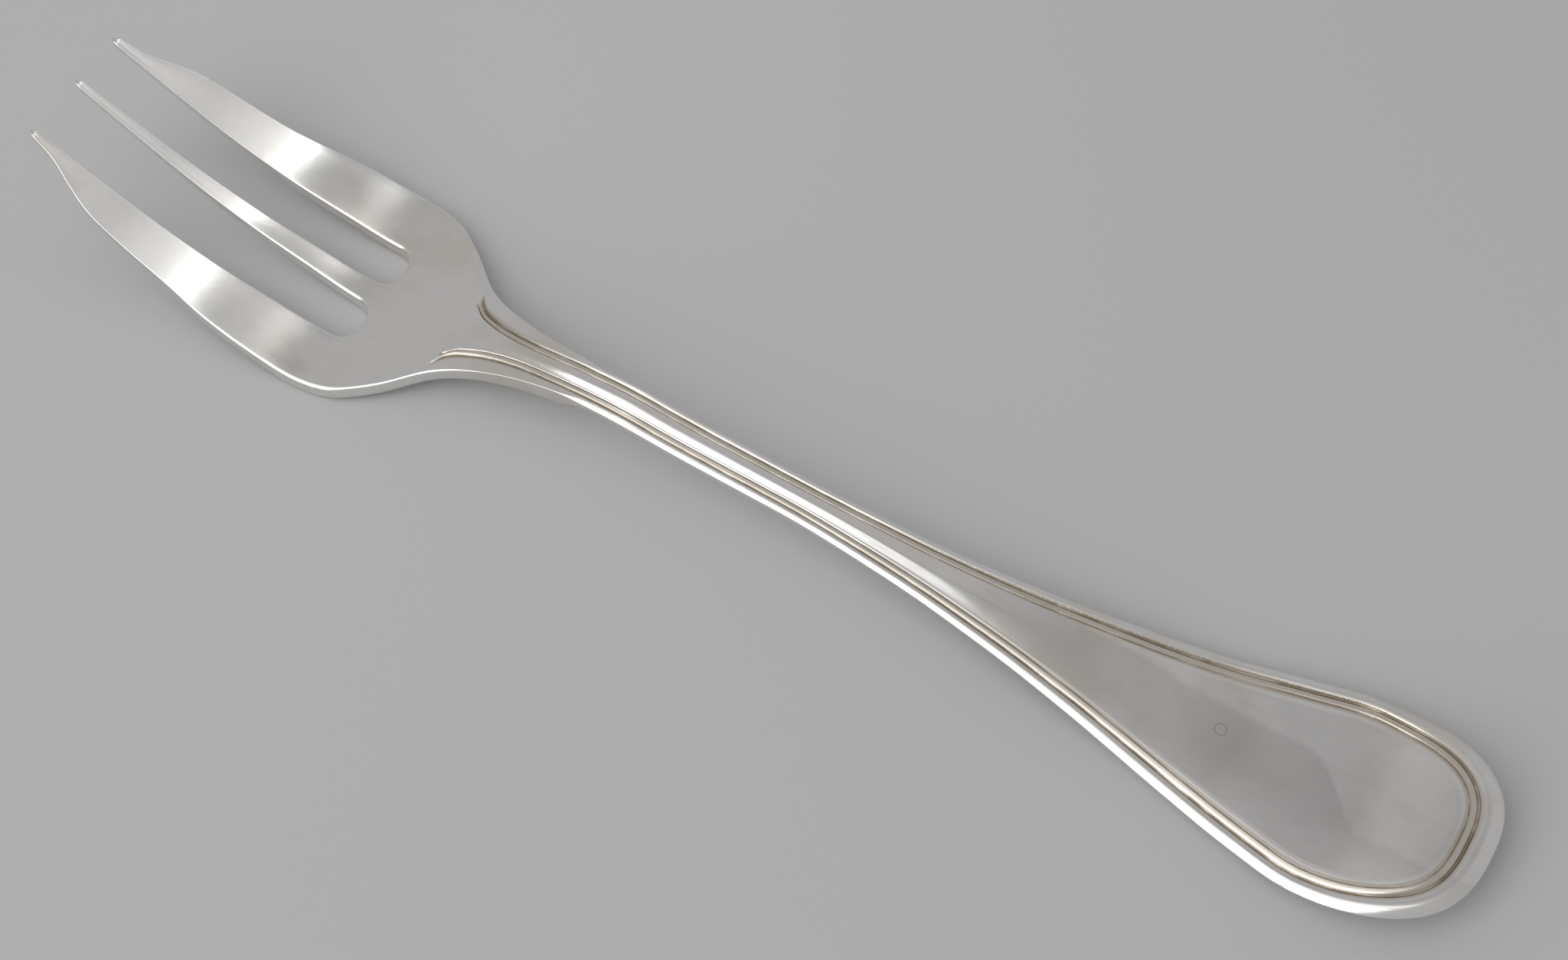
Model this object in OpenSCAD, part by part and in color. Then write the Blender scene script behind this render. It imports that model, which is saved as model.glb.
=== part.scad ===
// Pastry fork with three tines and a double-thread border, lying concave side up.
// X runs along the length towards the tips, Y across, Z up; the origin is on the table.

/* [Lengths] */
// Length of the broad handle, from its end to where the stem begins
handle_len = 48; // [42:0.5:56]
// Length of the slender stem
stem_len = 44; // [36:0.5:52]
// Length of the neck, where the stem flares into the head
neck_len = 14; // [11:0.5:18]
// Length of the palm, from the neck to the slots
palm_len = 9; // [7:0.5:12]
// Length of the tines, from the slots to the tips
tine_len = 35; // [30:0.5:42]

/* [Widths] */
// Widest place of the handle
handle_w = 20.6; // [17:0.1:22]
// Width of the stem
stem_w = 4.4; // [3.8:0.1:5]
// Widest place of the head
head_w = 23.8; // [22:0.1:27]
// Width of the middle tine at its root
middle_root_w = 2.8; // [2:0.1:3.4]
// Width of the middle tine just before its tip
middle_tip_w = 0.7; // [0.6:0.1:1.4]
// Gap between two tines at the rounded end of a slot
slot_w = 4.3; // [4:0.1:5]
// Width of an outer tine just before its tip
outer_tip_w = 0.7; // [0.6:0.1:1.6]
// Distance from the centre line to the tip of an outer tine
tip_spread = 6.4; // [6:0.1:7]
// How far the middle tine leans to the right of the centre line
middle_lean = 0.5; // [0:0.1:0.8]

/* [Thicknesses] */
// Thickness of the handle over its border
handle_t = 1.7; // [1.4:0.1:2.4]
// Thickness of the stem over its border
stem_t = 2.2; // [1.8:0.1:3]
// Thickness of the palm
palm_t = 1.7; // [1.4:0.1:2.2]
// Thickness of a tine at its tip
tip_t = 1; // [0.8:0.1:1.4]
// Rounding of the tines' long edges
edge_r = 0.35; // [0.2:0.05:0.5]
// How far the middle of a tine's or the palm's face lies below its edges
tine_hollow = 0.06; // [0.02:0.02:0.12]
// How far the middle of a tine's or the palm's back lies below its edges
tine_dome = 0.1; // [0.02:0.02:0.16]

/* [Side profile] */
// Height that the handle's end turns up from the table
end_rise = 3.4; // [1:0.1:5]
// Height of the arch under the stem
arch_rise = 3.9; // [2:0.1:6]
// Height of the tips' underside over the table
tip_rise = 11.6; // [8:0.1:14]

/* [Border] */
// Width of the outer bead at the handle's end
end_bead_w = 2.2; // [1.6:0.05:2.4]
// Width of the outer bead along the handle
handle_bead_w = 1.25; // [1:0.05:1.6]
// Width of the outer bead along the stem
stem_bead_w = 0.67; // [0.56:0.01:0.74]
// Width of the outer bead at the end of the neck
neck_bead_w = 1.75; // [1.3:0.05:2]
// Drop from the bead's top to its outer edge at the handle's end
end_shoulder = 0.75; // [0.4:0.05:0.9]
// The same drop along the handle
handle_shoulder = 0.6; // [0.3:0.05:0.8]
// The same drop along the stem
stem_shoulder = 0.36; // [0.2:0.02:0.6]
// Width of the groove between bead and thread on the handle
handle_groove_w = 0.18; // [0.12:0.02:0.3]
// Width of the same groove on the stem
stem_groove_w = 0.14; // [0.1:0.02:0.18]
// Width of the same groove at the end of the neck
neck_groove_w = 0.24; // [0.16:0.02:0.3]
// Depth of the groove on the handle
handle_groove_deep = 0.26; // [0.16:0.02:0.36]
// Depth of the groove on the stem
stem_groove_deep = 0.08; // [0.04:0.02:0.12]
// Depth of the groove at the end of the neck
neck_groove_deep = 0.2; // [0.12:0.02:0.26]
// Width of the inner thread on the handle
handle_thread_w = 0.7; // [0.4:0.02:0.8]
// Width of the inner thread on the stem
stem_thread_w = 0.5; // [0.4:0.02:0.58]
// Width of the inner thread at the end of the neck
neck_thread_w = 0.5; // [0.36:0.02:0.6]
// Width of the small groove inside the thread
seam_w = 0.1; // [0.08:0.02:0.18]
// Depth of the small groove
seam_deep = 0.14; // [0.08:0.02:0.2]
// Width of the hollow between the small groove and the handle's field
cove_w = 0.85; // [0.6:0.05:1.3]
// Drop from the bead's top to the handle's plain field
field_drop = 0.04; // [0:0.02:0.07]
// Height of the stem's middle crown over its border
crown_h = 0.3; // [0.1:0.02:0.5]
// How far the middle of the handle's field lies below the field's edge
field_hollow = 0.1; // [0.02:0.02:0.16]
// Rounding of the neck's edge before it sharpens towards the palm
neck_edge_r = 0.14; // [0.1:0.02:0.34]

/* [Hidden] */

stem_start = handle_len;
neck_start = stem_start + stem_len;
palm_start = neck_start + neck_len;
tine_start = palm_start + palm_len;
fork_len = tine_start + tine_len;
centre_shift = [-fork_len / 2, 0, 0];
slot_mid = middle_root_w / 2 + slot_w / 2;
inner_y = middle_root_w / 2 + slot_w;

// Shape shares, each row [share of the length, share of the size that it steers]
end_len_share = 0.29;
end_power_share = 2.56;
end_middle_share = 0.35;
handle_flare_shares = [[0.29, 1], [0.417, 0.874], [0.583, 0.647], [0.77, 0.413], [1, 0.188]];
stem_flare_shares = [[0.227, 0.062], [0.5, 0]];
neck_flare_shares = [[0.14, 0.011], [0.43, 0.061], [0.64, 0.126], [0.857, 0.229]];
palm_flare_shares = [[0.056, 0.378], [0.28, 0.571], [0.556, 0.766], [0.889, 0.948]];
outer_edge_shares = [[0.086, 1], [0.23, 0.987], [0.37, 0.948], [0.51, 0.882],
    [0.66, 0.837], [0.757, 0.802]];
ogee_shares = [[0.84, 0.63], [0.92, 0.18], [1, 0]];
end_under_shares = [[0, 1], [0.13, 0.71], [0.25, 0.25], [0.55, 0]];
handle_under_shares = [[0.83, 0.28]];
stem_under_shares = [[0.14, 0.56], [0.45, 0.735], [0.72, 0.84], [0.92, 1]];
neck_under_shares = [[0.43, 0.825], [0.93, 0.53]];
palm_under_shares = [[0.55, 0.11]];
tine_under_shares = [[0.06, 0], [0.23, 0.081], [0.4, 0.176], [0.6, 0.379], [0.8, 0.673], [1, 1]];
// Where the border dies out at the shoulders, in shares of the neck's length
fade_start_share = 0.97;
fade_end_share = 1.1;
// Where the stem's crown sinks into the head, in shares of the neck's length
crown_start_share = 0.1;
crown_end_share = 1.1;
// Where the crown sinks into the handle's field, as a share of the handle's flare
crown_flare_share = 0.7;
// Where the bead's soft shoulder becomes a plain upright edge, in shares of the neck's length
wall_start_share = -0.12;
wall_end_share = 0.12;
// Where the neck's rounded edge sharpens, in shares of the neck's length
sharp_start_share = 0.6;
sharp_end_share = 1.1;
// How the bead widens along the neck, each row [share of the neck's length, share of the widening]
neck_bead_shares = [[0, 0], [0.2, 0.14], [0.45, 0.5], [0.8, 0.95], [0.9, 1], [0.96, 0.85],
    [1, 0.6], [1.04, 0.2], [1.07, 0.05]];
// Back of the border, each row [share of the bead's width, share of the outer edge's height]
back_shares = [[1.5, 0.08], [0.6, 0.3], [0.12, 0.72]];
back_middle_share = 0.02;
// Bead, each row [share of its width, share of the drop to its outer edge]
bead_shares = [[0.1, 0.62], [0.24, 0.33], [0.42, 0.1], [0.62, 0], [0.84, 0.03], [0.96, 0.12]];
groove_start_share = 0.3;
// Thread, each row [share of its width, share of the groove's depth]
thread_shares = [[0.04, 1], [0.24, 0.5], [0.48, 0.2], [0.72, 0.05], [0.86, 0], [0.96, 0.15]];
// Hollow inside the thread, each row [share of its width, share of the climb to the field]
cove_shares = [[0, 0.1], [0.3, 0.45], [0.6, 0.78], [1, 1]];
stem_cove_share = 0.1;
// Crown, each row [share of the way to the middle, share of its height]
crown_shares = [[0.3, 0.44], [0.6, 0.77], [0.85, 0.95]];
// Rounded corners of a plain edge, as shares of the rounding's radius
low_corner_shares = [[1, 0], [0.29, 0.29], [0, 1]];
top_corner_shares = [[0.08, 0.62], [0.29, 0.29], [0.62, 0.08], [1, 0], [1.2, 0], [1.45, 0]];
// How many of these rows round the corner itself
corner_rows = 4;
// Rounding of a narrow tine, and how far a tine's tip narrows and thins
corner_share = 0.3;
corner_limit_share = 0.33;
tip_width_share = 0.8;
tip_thick_share = 0.6;
// Where the middle tine's lean is complete, as a share of the tine's length
lean_end_share = 0.8;
// How close the first ring lies to the very end, as a share of one step
first_step_share = 0.1;

// Number of stations, and of steps round the handle's end
end_steps = 14;
handle_steps = 12;
stem_steps = 20;
neck_steps = 20;
palm_steps = 10;
root_steps = 5;
tine_steps = 20;
tip_steps = 4;

// Smooth curve through a table of [place, value] that never overshoots its points
function step_slope(p, i) = (p[i + 1][1] - p[i][1]) / (p[i + 1][0] - p[i][0]);
function inner_slope(a, b) = a * b <= 0 ? 0 : 2 * a * b / (a + b);
function knot_slope(p, i) =
    i == 0 ? step_slope(p, 0) :
    i == len(p) - 1 ? step_slope(p, i - 1) :
    inner_slope(step_slope(p, i - 1), step_slope(p, i));
function hermite(t, h, a, b, ma, mb) =
    (2 * t ^ 3 - 3 * t ^ 2 + 1) * a + (t ^ 3 - 2 * t ^ 2 + t) * h * ma
    + (3 * t ^ 2 - 2 * t ^ 3) * b + (t ^ 3 - t ^ 2) * h * mb;
function knot_below(p, x, i = 0) = i >= len(p) - 2 || p[i + 1][0] > x ? i : knot_below(p, x, i + 1);
function curve(p, x) =
    x <= p[0][0] ? p[0][1] :
    x >= p[len(p) - 1][0] ? p[len(p) - 1][1] :
    let (i = knot_below(p, x), h = p[i + 1][0] - p[i][0])
    hermite((x - p[i][0]) / h, h, p[i][1], p[i + 1][1], knot_slope(p, i), knot_slope(p, i + 1));

// A share table placed at a start, over a length, between two values
function placed(shares, start, length, low, high) =
    [for (s = shares) [start + s[0] * length, low + s[1] * (high - low)]];
function mix(a, b, share) = a + (b - a) * share;
function ease(share) = let (s = max(0, min(1, share))) s * s * (3 - 2 * s);

// Half the fork's width at a place along it
half_width_points = concat(
    placed(handle_flare_shares, 0, handle_len, stem_w / 2, handle_w / 2),
    placed(stem_flare_shares, stem_start, stem_len, stem_w / 2, handle_w / 2),
    [[neck_start, stem_w / 2]],
    placed(neck_flare_shares, neck_start, neck_len, stem_w / 2, head_w / 2),
    placed(palm_flare_shares, palm_start, palm_len, stem_w / 2, head_w / 2),
    placed(outer_edge_shares, tine_start, tine_len, 0, head_w / 2));
function half_width(x) = curve(half_width_points, x);
// How much of the handle's breadth is reached: 0 on the stem, 1 at the widest place
function flare(x) = x > neck_start ? 0 : (half_width(x) - stem_w / 2) / (handle_w / 2 - stem_w / 2);

// Height of the underside over the table
under_points = concat(
    placed(end_under_shares, 0, handle_len, 0, end_rise),
    placed(handle_under_shares, 0, handle_len, 0, arch_rise),
    placed(stem_under_shares, stem_start, stem_len, 0, arch_rise),
    placed(neck_under_shares, neck_start, neck_len, 0, arch_rise),
    placed(palm_under_shares, palm_start, palm_len, 0, arch_rise),
    placed(tine_under_shares, tine_start, tine_len, 0, tip_rise));
function under(x) = curve(under_points, x);

// Thickness at a place along the fork
thick_points = [[0, handle_t], [stem_start, handle_t], [stem_start + stem_len / 2, stem_t],
    [neck_start, stem_t], [palm_start, palm_t], [tine_start, palm_t], [fork_len, tip_t]];
function thick(x) = curve(thick_points, x);

// Strength of the border: full to the neck, then dying out before the palm
function border(x) = 1 - ease((x - neck_start - fade_start_share * neck_len)
    / ((fade_end_share - fade_start_share) * neck_len));

// Strength of the crown, and how far the soft shoulder has become a plain upright edge
function crown(x) = 1 - ease((x - neck_start - crown_start_share * neck_len)
    / ((crown_end_share - crown_start_share) * neck_len));
function wall(x) = ease((x - neck_start - wall_start_share * neck_len)
    / ((wall_end_share - wall_start_share) * neck_len));
function wall_r(x) = mix(neck_edge_r, edge_r, ease((x - neck_start - sharp_start_share * neck_len)
    / ((sharp_end_share - sharp_start_share) * neck_len)));
function neck_widening(x) = curve(neck_bead_shares, max(0, x - neck_start) / neck_len);
// The border reaches its full size earlier than the outline does
function border_flare(x) = flare(x) * (2 - flare(x));
function along(x, stem, handle, neck) =
    mix(stem, handle, border_flare(x)) + neck_widening(x) * (neck - stem);
function bead_w(x) = along(x, stem_bead_w, handle_bead_w, neck_bead_w);
function groove_w(x) = along(x, stem_groove_w, handle_groove_w, neck_groove_w);
function thread_w(x) = along(x, stem_thread_w, handle_thread_w, neck_thread_w);
function shoulder(x) = mix(stem_shoulder, handle_shoulder, border_flare(x));
function border_w(x, bead) =
    bead + groove_w(x) + thread_w(x) + seam_w + cove_w * mix(stem_cove_share, 1, border_flare(x));

// One side of a section, from the back to the middle, as [inset from the edge, height over the underside]
function towards(rows, plain, share) =
    [for (i = [0 : len(rows) - 1])
        [mix(rows[i][0], plain[i][0], share), mix(rows[i][1], plain[i][1], share)]];
function back_side(x, w, bead, drop) =
    let (t = thick(x), edge = t - drop, p = wall(x))
    concat([[mix(bead, w, 0.5), mix(back_middle_share * t, tine_dome / 4, p)]],
        towards([for (r = back_shares) [r[0] * bead, r[1] * edge]],
            [for (r = low_corner_shares) [r[0] * edge_r, tine_dome + r[1] * edge_r]], p),
        [[0, mix(edge, t - wall_r(x), p)]]);
// The rows beside the groove stay there until the border dies out
function bead_side(x, bead, drop) =
    let (t = thick(x), rows = [for (r = bead_shares) [r[0] * bead, t - r[1] * drop]],
        plain = [for (r = top_corner_shares) [r[0] * wall_r(x), t - r[1] * wall_r(x)]])
    [for (i = [0 : len(rows) - 1])
        let (share = wall(x) * (i < corner_rows ? 1 : 1 - border(x)))
        [mix(rows[i][0], plain[i][0], share), mix(rows[i][1], plain[i][1], share)]];
function face_rows(x, w, bead) =
    let (t = thick(x), f = flare(x), k = border(x),
        deep = k * along(x, stem_groove_deep, handle_groove_deep, neck_groove_deep),
        seam = deep * seam_deep / handle_groove_deep, a = bead + groove_w(x),
        b = a + thread_w(x), c = b + seam_w, cove = cove_w * mix(stem_cove_share, 1, border_flare(x)),
        field = t - k * f * field_drop, rise = middle_top(x) + wall(x) * tine_hollow - field)
    concat([[bead + groove_start_share * groove_w(x), t - deep]],
        [for (r = thread_shares) [a + r[0] * thread_w(x), t - r[1] * deep]],
        [[b + seam_w / 2, t - seam]],
        [for (r = cove_shares) [c + r[0] * cove, mix(t - seam, field, r[1])]],
        [for (r = crown_shares) [mix(c + cove, w, r[0]), field + r[1] * rise]]);
// Past the neck the rows drift to even places across the palm
function face_side(x, w, bead) =
    let (rows = face_rows(x, w, bead), from = top_corner_shares[5][0] * wall_r(x))
    [for (i = [0 : len(rows) - 1])
        [mix(mix(from, w, (i + 1) / (len(rows) + 1)), rows[i][0], border(x)), rows[i][1]]];
function middle_top(x) =
    thick(x) - flare(x) * border(x) * (field_drop + field_hollow)
    + (1 - ease(flare(x) / crown_flare_share)) * crown(x) * crown_h - wall(x) * tine_hollow;
function one_side(x, w, bead, drop) =
    concat(back_side(x, w, bead, drop), [for (q = concat(bead_side(x, bead, drop), face_side(x, w, bead)))
        [q[0], q[1] - wall(x) * tine_hollow * (1 - (1 - q[0] / w) ^ 2)]]);

// Section across the fork at x, as a closed ring: underside middle, left side, top middle, right side
function side_points(x, side) =
    let (w = half_width(x))
    [for (q = one_side(x, w, bead_w(x), shoulder(x))) [x, side * (w - q[0]), under(x) + q[1]]];
function reversed(list) = [for (i = [len(list) - 1 : -1 : 0]) list[i]];
function section(x) = concat([[x, 0, under(x)]], side_points(x, 1),
    [[x, 0, under(x) + middle_top(x)]], reversed(side_points(x, -1)));

// Ring round the handle's end: its ribs run along the outline's normals to the middle line
end_len = end_len_share * handle_len;
function end_edge(turn) =
    [end_len * (1 - cos(turn) ^ (2 / end_power_share)), handle_w / 2 * sin(turn) ^ (2 / end_power_share)];
function end_normal(turn) =
    let (n = [cos(turn) ^ (2 - 2 / end_power_share) / end_len,
        -sin(turn) ^ (2 - 2 / end_power_share) / (handle_w / 2)])
    n / norm(n);
function end_middle(turn) = [end_len * (1 - end_middle_share * cos(turn) ^ 2), 0];
function end_side(turn, side) =
    let (edge = end_edge(turn), n = end_normal(turn), mid = end_middle(turn), reach = norm(mid - edge),
        bead = mix(handle_bead_w, end_bead_w, cos(turn)), full = border_w(end_len, bead))
    [for (q = one_side(end_len, reach, bead, mix(handle_shoulder, end_shoulder, cos(turn))))
        let (d = q[0], m = max(0, (d - full) / (reach - full)),
            p = edge + n * min(d, full), r = p + (mid - p) * m)
        [r[0], side * r[1], under(r[0]) + q[1]]];
function end_ring(turn) =
    let (x = end_middle(turn)[0])
    concat([[x, 0, under(x)]], end_side(turn, 1), [[x, 0, under(x) + middle_top(end_len)]],
        reversed(end_side(turn, -1)));

// Triangles that join each ring to the next, close a flat last ring and zip or close the first one
function wall_faces(rings, size) =
    [for (i = [0 : rings - 2], k = [0 : size - 1])
        let (a = i * size + k, b = i * size + (k + 1) % size)
        each [[a, b, b + size], [a, b + size, a + size]]];
function flat_cap(start, size, turned) =
    [turned ? [for (k = [0 : size - 1]) start + k] : [for (k = [size - 1 : -1 : 0]) start + k]];
function zip_cap(size) =
    let (half = size / 2)
    concat([[0, size - 1, 1]],
        [for (k = [1 : half - 2]) each [[k, size - k, k + 1], [k + 1, size - k, size - k - 1]]],
        [[half - 1, half + 1, half]]);
module loft(rings, zipped = false) {
    size = len(rings[0]);
    start = zipped ? zip_cap(size) : flat_cap(0, size, false);
    faces = concat(wall_faces(len(rings), size), start, flat_cap((len(rings) - 1) * size, size, true));
    polyhedron(points = [for (ring = rings) each ring], faces = faces, convexity = 6);
}
function stations(from, to, steps) = [for (i = [0 : steps]) mix(from, to, i / steps)];

// Tine edges at x, as [right edge, left edge] across the fork
root_len = slot_w / 2;
function root_round(x) = let (s = min(1, (x - tine_start) / root_len)) sqrt(max(0, 1 - (1 - s) ^ 2));
function tine_share(x) = (x - tine_start) / tine_len;
tip_round_len = tip_t;
function tip_narrow(x) =
    let (s = max(0, (x - fork_len + tip_round_len) / tip_round_len))
    sqrt(max(0, 1 - s * s));
function middle_half(x) =
    let (w = mix(middle_root_w, middle_tip_w, tine_share(x)) / 2)
    mix(slot_mid, w, root_round(x)) * mix(1, tip_narrow(x), tip_width_share);
function lean(x) = middle_lean * (1 - (1 - min(1, tine_share(x) / lean_end_share)) ^ 2);
ogee_points = placed(ogee_shares, tine_start, tine_len,
    tip_spread + outer_tip_w / 2, outer_edge_shares[5][1] * head_w / 2);
function outer_edge(x) =
    let (y = curve(concat([half_width_points[len(half_width_points) - 2],
        half_width_points[len(half_width_points) - 1]], ogee_points), x))
    x <= tine_start + outer_edge_shares[4][0] * tine_len ? half_width(x) : y;
function inner_edge(x) =
    mix(slot_mid, mix(inner_y, tip_spread - outer_tip_w / 2, tine_share(x)), root_round(x));
function outer_edges(x) =
    let (a = inner_edge(x), b = outer_edge(x), m = tip_spread,
        n = mix(1, tip_narrow(x), tip_width_share))
    tip_narrow(x) < 1 ? [m - (m - a) * n, m + (b - m) * n] : [a, b];

// Section of a tine between two edges, with rounded corners
function tine_section(x, edges) =
    let (a = edges[0], b = edges[1], m = (a + b) / 2, t = thick(x) * mix(1, tip_narrow(x), tip_thick_share),
        r = min(edge_r, (b - a) * corner_limit_share, t * corner_limit_share), q = corner_share * r,
        low = under(x) + (thick(x) - t) / 2, z = low + tine_dome)
    [[x, m, low], [x, b - r, z], [x, b - q, z + q], [x, b, z + r], [x, b, low + t - r],
     [x, b - q, low + t - q], [x, b - r, low + t], [x, m, low + t - tine_hollow],
     [x, a + r, low + t], [x, a + q, low + t - q], [x, a, low + t - r], [x, a, z + r],
     [x, a + q, z + q], [x, a + r, z]];
function tine_stations() = concat(
    [for (i = [0 : root_steps]) tine_start + root_len * (1 - cos(90 * i / root_steps))],
    [for (i = [1 : tine_steps]) mix(tine_start + root_len, fork_len - tip_round_len, i / tine_steps)],
    [for (i = [1 : tip_steps]) fork_len - tip_round_len * (1 - sin(90 * i / tip_steps))]);

module handle() {
    color("silver")
        translate(centre_shift)
            loft(concat(
                [for (i = [first_step_share, each [1 : end_steps - 1]]) end_ring(90 * i / end_steps)],
                [for (x = stations(end_len, handle_len, handle_steps)) section(x)]), zipped = true);
}

module stem() {
    color("gainsboro")
        translate(centre_shift)
            loft([for (x = stations(stem_start, neck_start, stem_steps)) section(x)]);
}

module neck() {
    color("lightgray")
        translate(centre_shift)
            loft([for (x = stations(neck_start, palm_start, neck_steps)) section(x)]);
}

module palm() {
    color("silver")
        translate(centre_shift)
            loft([for (x = stations(palm_start, tine_start, palm_steps)) section(x)]);
}

module outer_tine() {
    translate(centre_shift)
        loft([for (x = tine_stations()) tine_section(x, outer_edges(x))]);
}

module left_tine() {
    color("gainsboro")
        outer_tine();
}

module middle_tine() {
    color("lightgray")
        translate(centre_shift)
            loft([for (x = tine_stations())
                tine_section(x, [-middle_half(x) - lean(x), middle_half(x) - lean(x)])]);
}

module right_tine() {
    color("gainsboro")
        mirror([0, 1, 0])
            outer_tine();
}

handle();
stem();
neck();
palm();
left_tine();
middle_tine();
right_tine();
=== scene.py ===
import math
import bpy
import numpy as np
from mathutils import Matrix, Vector


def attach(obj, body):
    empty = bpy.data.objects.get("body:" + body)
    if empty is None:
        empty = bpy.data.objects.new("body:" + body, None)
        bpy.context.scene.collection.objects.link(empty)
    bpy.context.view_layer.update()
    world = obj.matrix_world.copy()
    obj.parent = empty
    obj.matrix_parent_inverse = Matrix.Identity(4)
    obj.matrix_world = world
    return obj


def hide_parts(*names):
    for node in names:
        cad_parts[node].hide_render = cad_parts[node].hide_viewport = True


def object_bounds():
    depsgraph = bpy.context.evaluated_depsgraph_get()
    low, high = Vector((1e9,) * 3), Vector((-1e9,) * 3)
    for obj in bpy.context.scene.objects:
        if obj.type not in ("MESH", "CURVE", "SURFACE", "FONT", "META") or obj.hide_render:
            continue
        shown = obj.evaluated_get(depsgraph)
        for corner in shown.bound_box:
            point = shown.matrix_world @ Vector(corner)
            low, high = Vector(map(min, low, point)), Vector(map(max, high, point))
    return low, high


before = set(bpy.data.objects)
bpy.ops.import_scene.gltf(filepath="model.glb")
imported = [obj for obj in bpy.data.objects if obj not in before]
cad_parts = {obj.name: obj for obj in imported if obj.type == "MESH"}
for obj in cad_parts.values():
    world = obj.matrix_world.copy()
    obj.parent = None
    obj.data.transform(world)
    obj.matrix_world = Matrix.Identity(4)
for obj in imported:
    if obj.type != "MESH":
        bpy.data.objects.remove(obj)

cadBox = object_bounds()
cadCorners = np.array([[float(v) for v in corner] for corner in cadBox])
mm = 0.001
tiny = 1e-12    # keeps a division off zero


def linearColor(hexCode):
    parts = [int(hexCode[i:i + 2], 16) / 255 for i in (0, 2, 4)]
    return [c / 12.92 if c <= 0.04045 else ((c + 0.055) / 1.055) ** 2.4 for c in parts] + [1.0]


def mix(a, b, share):
    return a + (b - a) * share


def ease(share):
    s = np.clip(share, 0, 1)
    return s * s * (3 - 2 * s)


def put(tree, kind, inputs=(), output=0, **settings):
    # adds one node and gives back one of its outputs; an input that is a socket is linked, anything else is its value;
    # a kind in capitals is a Math node with that operation, or a smooth step between two values
    if kind == "SMOOTHSTEP":
        kind, settings = "ShaderNodeMapRange", {"interpolation_type": kind}
    elif kind.isupper():
        kind, settings = "ShaderNodeMath", {"operation": kind}
    node = tree.nodes.new(kind)
    for name, value in settings.items():
        setattr(node, name, value)
    for key, value in inputs.items() if isinstance(inputs, dict) else enumerate(inputs):
        socket = node.inputs[key]
        if isinstance(value, bpy.types.NodeSocket):
            tree.links.new(value, socket)
        else:
            socket.default_value = value
    return node.outputs[output] if node.outputs else None


# the blank: millimetres from the handle's end, the same sizes as the solids; each list holds (share of its region's
# length, share of the way from the narrow or low value to the wide or high one)
fork = {
    "handleLen": 48.0, "stemLen": 44.0, "neckLen": 14.0, "palmLen": 9.0, "tineLen": 35.0,
    "handleWidth": 20.6, "stemWidth": 4.4, "headWidth": 23.8,
    "handleThick": 1.7, "stemThick": 2.2, "palmThick": 1.7, "tipThick": 1.0,
    "endRise": 3.4, "archRise": 3.9, "tipRise": 11.6,
    "endLenShare": 0.29, "endPower": 2.56, "endMiddle": 0.35,
    "handleFlare": [(0.29, 1), (0.417, 0.874), (0.583, 0.647), (0.77, 0.413), (1, 0.188)],
    "stemFlare": [(0.227, 0.062), (0.5, 0)],
    "neckFlare": [(0.14, 0.011), (0.43, 0.061), (0.64, 0.126), (0.857, 0.229)],
    "palmFlare": [(0.056, 0.378), (0.28, 0.571), (0.556, 0.766), (0.889, 0.948)],
    "outerEdge": [(0.086, 1), (0.23, 0.987), (0.37, 0.948), (0.51, 0.882), (0.66, 0.837), (0.757, 0.802)],
    "ogee": [(0.84, 0.63), (0.92, 0.18), (1, 0)],
    "endUnder": [(0, 1), (0.13, 0.71), (0.25, 0.25), (0.55, 0)],
    "handleUnder": [(0.83, 0.28)],
    "stemUnder": [(0.14, 0.56), (0.45, 0.735), (0.72, 0.84), (0.92, 1)],
    "neckUnder": [(0.43, 0.825), (0.93, 0.53)],
    "palmUnder": [(0.55, 0.11)],
    "tineUnder": [(0.06, 0), (0.23, 0.081), (0.4, 0.176), (0.6, 0.379), (0.8, 0.673), (1, 1)],
    "widthSpread": 0.9, "riseSpread": 1.6,    # how far a drawn curve is faired, so that no kink shows in the polish
    "curveStep": 0.02, "curveMargin": 8,
}
stemStart = fork["handleLen"]
neckStart = stemStart + fork["stemLen"]
palmStart = neckStart + fork["neckLen"]
tineStart = palmStart + fork["palmLen"]
forkLen = tineStart + fork["tineLen"]
endLen = fork["endLenShare"] * fork["handleLen"]
alongFork = np.arange(-fork["curveMargin"], forkLen + fork["curveMargin"], fork["curveStep"])


def placed(shares, start, length, low, high):
    return [(start + a * length, mix(low, high, b)) for a, b in shares]


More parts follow.
